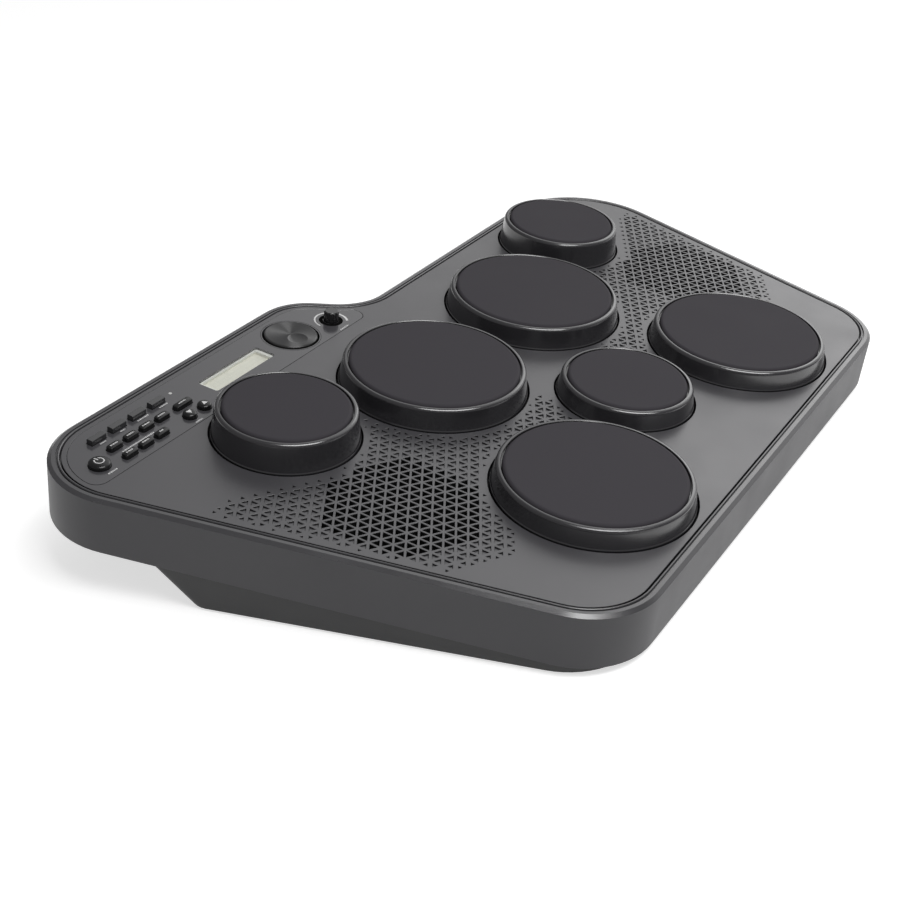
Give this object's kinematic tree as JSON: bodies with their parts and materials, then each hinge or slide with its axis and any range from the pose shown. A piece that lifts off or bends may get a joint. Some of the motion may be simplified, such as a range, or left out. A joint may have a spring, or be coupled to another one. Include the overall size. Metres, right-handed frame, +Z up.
{
  "type": "electronic drum kit",
  "caption": "Tabletop electronic drum kit: round rubber pads on a tilted fan-shaped panel with perforated speaker grilles, a display, keys, a data wheel and a volume knob.",
  "frame": {"origin": "on the table, under the middle of the object's box", "axes": "+X to the player's right, +Y away from the player, +Z up"},
  "size_m": [0.6018, 0.3648, 0.0867],
  "materials": {
    "panel_plastic": "satin dark grey, fine moulded grain",
    "band_plastic": "satin dark grey, fine moulded grain",
    "base_plastic": "matte black, moulded grain",
    "plate_plastic": "semi-gloss dark grey overlay",
    "key_plastic": "semi-gloss black",
    "cup_plastic": "semi-gloss black moulded rim",
    "pad_rubber": "matte black rubber",
    "foot_rubber": "matte black rubber",
    "wheel_plastic": "turned, spun sheen",
    "clear_window": "clear acrylic",
    "display": "reflective grey-green display",
    "led_plastic": "frosted",
    "board": "green solder mask",
    "part_black": "black moulded component",
    "bright_metal": "zinc plated",
    "brass": "piezo disc",
    "speaker_steel": "painted steel",
    "speaker_paper": "black paper cone",
    "magnet_ferrite": "ferrite"
  },
  "bodies": {
    "case": {"top_panel": "panel_plastic", "side_band": "band_plastic", "bottom_case": "base_plastic", "control_plate": "plate_plastic", "lcd_window": "clear_window", "lcd_panel": "display", "led_lens": "led_plastic", "control_board": "board", "tact_switches": "part_black", "wheel_encoder": "bright_metal", "volume_pot": "bright_metal", "pad_trays": "base_plastic", "pad_isolators": "foot_rubber", "speaker_frames": "speaker_steel", "speaker_cones": "speaker_paper", "speaker_magnets": "magnet_ferrite", "main_board": "board", "rear_sockets": "part_black", "rubber_feet": "foot_rubber", "case_screws": "bright_metal"},
    "pad_1": {"pad_cup_1": "cup_plastic", "pad_skin_1": "pad_rubber", "pad_sensor_1": "brass"},
    "pad_2": {"pad_cup_2": "cup_plastic", "pad_skin_2": "pad_rubber", "pad_sensor_2": "brass"},
    "pad_3": {"pad_cup_3": "cup_plastic", "pad_skin_3": "pad_rubber", "pad_sensor_3": "brass"},
    "pad_4": {"pad_cup_4": "cup_plastic", "pad_skin_4": "pad_rubber", "pad_sensor_4": "brass"},
    "pad_5": {"pad_cup_5": "cup_plastic", "pad_skin_5": "pad_rubber", "pad_sensor_5": "brass"},
    "pad_6": {"pad_cup_6": "cup_plastic", "pad_skin_6": "pad_rubber", "pad_sensor_6": "brass"},
    "pad_7": {"pad_cup_7": "cup_plastic", "pad_skin_7": "pad_rubber", "pad_sensor_7": "brass"},
    "power_key_body": {"power_key": "key_plastic"},
    "wedge_key_1_body": {"wedge_key_1": "key_plastic"},
    "wedge_key_2_body": {"wedge_key_2": "key_plastic"},
    "wedge_key_3_body": {"wedge_key_3": "key_plastic"},
    "wedge_key_4_body": {"wedge_key_4": "key_plastic"},
    "upper_key_1_body": {"upper_key_1": "key_plastic"},
    "upper_key_2_body": {"upper_key_2": "key_plastic"},
    "upper_key_3_body": {"upper_key_3": "key_plastic"},
    "upper_key_4_body": {"upper_key_4": "key_plastic"},
    "lower_key_1_body": {"lower_key_1": "key_plastic"},
    "lower_key_2_body": {"lower_key_2": "key_plastic"},
    "lower_key_3_body": {"lower_key_3": "key_plastic"},
    "long_key_body": {"long_key": "key_plastic"},
    "down_key_body": {"down_key": "key_plastic"},
    "up_key_body": {"up_key": "key_plastic"},
    "wheel": {"data_wheel": "wheel_plastic"},
    "knob": {"volume_knob": "key_plastic"},
    "door": {"battery_door": "base_plastic"}
  },
  "joints": [
    {"name": "pad_1_strike", "type": "slide", "parent": "case", "child": "pad_1", "axis": [0, 0.0872, -0.9962], "range_m": [0, 0.0006], "stiffness_N_per_m": 20000, "springref_m": -0.0002},
    {"name": "pad_2_strike", "type": "slide", "parent": "case", "child": "pad_2", "axis": [0, 0.0872, -0.9962], "range_m": [0, 0.0006], "stiffness_N_per_m": 20000, "springref_m": -0.0002},
    {"name": "pad_3_strike", "type": "slide", "parent": "case", "child": "pad_3", "axis": [0, 0.0872, -0.9962], "range_m": [0, 0.0006], "stiffness_N_per_m": 20000, "springref_m": -0.0002},
    {"name": "pad_4_strike", "type": "slide", "parent": "case", "child": "pad_4", "axis": [0, 0.0872, -0.9962], "range_m": [0, 0.0006], "stiffness_N_per_m": 20000, "springref_m": -0.0002},
    {"name": "pad_5_strike", "type": "slide", "parent": "case", "child": "pad_5", "axis": [0, 0.0872, -0.9962], "range_m": [0, 0.0006], "stiffness_N_per_m": 20000, "springref_m": -0.0002},
    {"name": "pad_6_strike", "type": "slide", "parent": "case", "child": "pad_6", "axis": [0, 0.0872, -0.9962], "range_m": [0, 0.0006], "stiffness_N_per_m": 20000, "springref_m": -0.0002},
    {"name": "pad_7_strike", "type": "slide", "parent": "case", "child": "pad_7", "axis": [0, 0.0872, -0.9962], "range_m": [0, 0.0006], "stiffness_N_per_m": 20000, "springref_m": -0.0002},
    {"name": "power_key_press", "type": "slide", "parent": "case", "child": "power_key_body", "axis": [0, 0.0872, -0.9962], "range_m": [0, 0.0008], "stiffness_N_per_m": 400, "springref_m": -0.0004},
    {"name": "wedge_key_1_press", "type": "slide", "parent": "case", "child": "wedge_key_1_body", "axis": [0, 0.0872, -0.9962], "range_m": [0, 0.0008], "stiffness_N_per_m": 400, "springref_m": -0.0004},
    {"name": "wedge_key_2_press", "type": "slide", "parent": "case", "child": "wedge_key_2_body", "axis": [0, 0.0872, -0.9962], "range_m": [0, 0.0008], "stiffness_N_per_m": 400, "springref_m": -0.0004},
    {"name": "wedge_key_3_press", "type": "slide", "parent": "case", "child": "wedge_key_3_body", "axis": [0, 0.0872, -0.9962], "range_m": [0, 0.0008], "stiffness_N_per_m": 400, "springref_m": -0.0004},
    {"name": "wedge_key_4_press", "type": "slide", "parent": "case", "child": "wedge_key_4_body", "axis": [0, 0.0872, -0.9962], "range_m": [0, 0.0008], "stiffness_N_per_m": 400, "springref_m": -0.0004},
    {"name": "upper_key_1_press", "type": "slide", "parent": "case", "child": "upper_key_1_body", "axis": [0, 0.0872, -0.9962], "range_m": [0, 0.0008], "stiffness_N_per_m": 400, "springref_m": -0.0004},
    {"name": "upper_key_2_press", "type": "slide", "parent": "case", "child": "upper_key_2_body", "axis": [0, 0.0872, -0.9962], "range_m": [0, 0.0008], "stiffness_N_per_m": 400, "springref_m": -0.0004},
    {"name": "upper_key_3_press", "type": "slide", "parent": "case", "child": "upper_key_3_body", "axis": [0, 0.0872, -0.9962], "range_m": [0, 0.0008], "stiffness_N_per_m": 400, "springref_m": -0.0004},
    {"name": "upper_key_4_press", "type": "slide", "parent": "case", "child": "upper_key_4_body", "axis": [0, 0.0872, -0.9962], "range_m": [0, 0.0008], "stiffness_N_per_m": 400, "springref_m": -0.0004},
    {"name": "lower_key_1_press", "type": "slide", "parent": "case", "child": "lower_key_1_body", "axis": [0, 0.0872, -0.9962], "range_m": [0, 0.0008], "stiffness_N_per_m": 400, "springref_m": -0.0004},
    {"name": "lower_key_2_press", "type": "slide", "parent": "case", "child": "lower_key_2_body", "axis": [0, 0.0872, -0.9962], "range_m": [0, 0.0008], "stiffness_N_per_m": 400, "springref_m": -0.0004},
    {"name": "lower_key_3_press", "type": "slide", "parent": "case", "child": "lower_key_3_body", "axis": [0, 0.0872, -0.9962], "range_m": [0, 0.0008], "stiffness_N_per_m": 400, "springref_m": -0.0004},
    {"name": "long_key_press", "type": "slide", "parent": "case", "child": "long_key_body", "axis": [0, 0.0872, -0.9962], "range_m": [0, 0.0008], "stiffness_N_per_m": 400, "springref_m": -0.0004},
    {"name": "down_key_press", "type": "slide", "parent": "case", "child": "down_key_body", "axis": [0, 0.0872, -0.9962], "range_m": [0, 0.0008], "stiffness_N_per_m": 400, "springref_m": -0.0004},
    {"name": "up_key_press", "type": "slide", "parent": "case", "child": "up_key_body", "axis": [0, 0.0872, -0.9962], "range_m": [0, 0.0008], "stiffness_N_per_m": 400, "springref_m": -0.0004},
    {"name": "data_wheel_turn", "type": "hinge", "parent": "case", "child": "wheel", "pos_m": [-0.07032, 0.144, 0.06939], "axis": [0, -0.0872, 0.9962], "continuous": true},
    {"name": "volume_turn", "type": "hinge", "parent": "case", "child": "knob", "pos_m": [-0.03411, 0.13518, 0.07264], "axis": [0, -0.0872, 0.9962], "range_deg": [-150, 150]},
    {"name": "battery_door_slide", "type": "slide", "parent": "case", "child": "door", "axis": [0, 1, 0], "range_m": [0, 0.055]}
  ]
}
